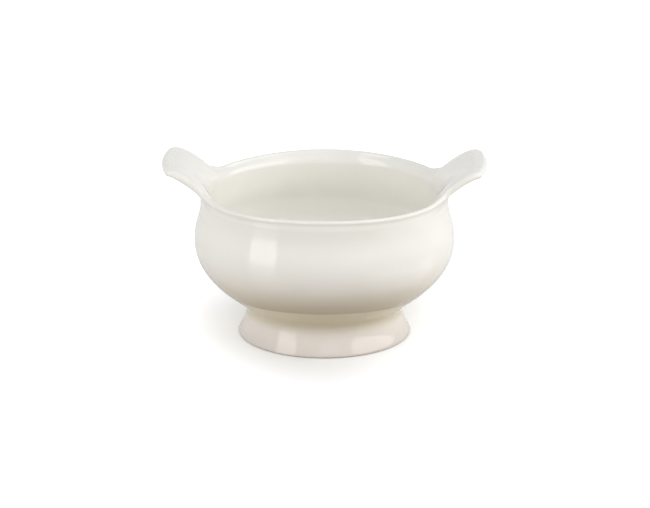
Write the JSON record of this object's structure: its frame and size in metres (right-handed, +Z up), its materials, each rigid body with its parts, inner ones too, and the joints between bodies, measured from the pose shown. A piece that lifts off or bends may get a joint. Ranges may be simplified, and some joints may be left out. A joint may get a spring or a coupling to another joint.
{
  "type": "soup bowl",
  "caption": "Round-bellied glazed stoneware soup bowl on a flared hollow pedestal foot, with up-swept ear handles growing out of the rim for carrying hot soup.",
  "frame": {"origin": "middle of the foot's standing face, on the bowl's axis", "axes": "+Z up along the bowl's axis, +X through the middle of the right ear, +Y away from the picture's camera"},
  "size_m": [0.1702, 0.137, 0.0951],
  "materials": {
    "glazed_stoneware": "glossy ivory glaze over stoneware",
    "luting_slip": "matt fired slip"
  },
  "bodies": {
    "root": {"pedestal_foot": "glazed_stoneware", "foot_slip": "luting_slip", "bowl": "glazed_stoneware", "right_ear": "glazed_stoneware", "right_ear_slip": "luting_slip", "left_ear": "glazed_stoneware", "left_ear_slip": "luting_slip"}
  },
  "joints": []
}
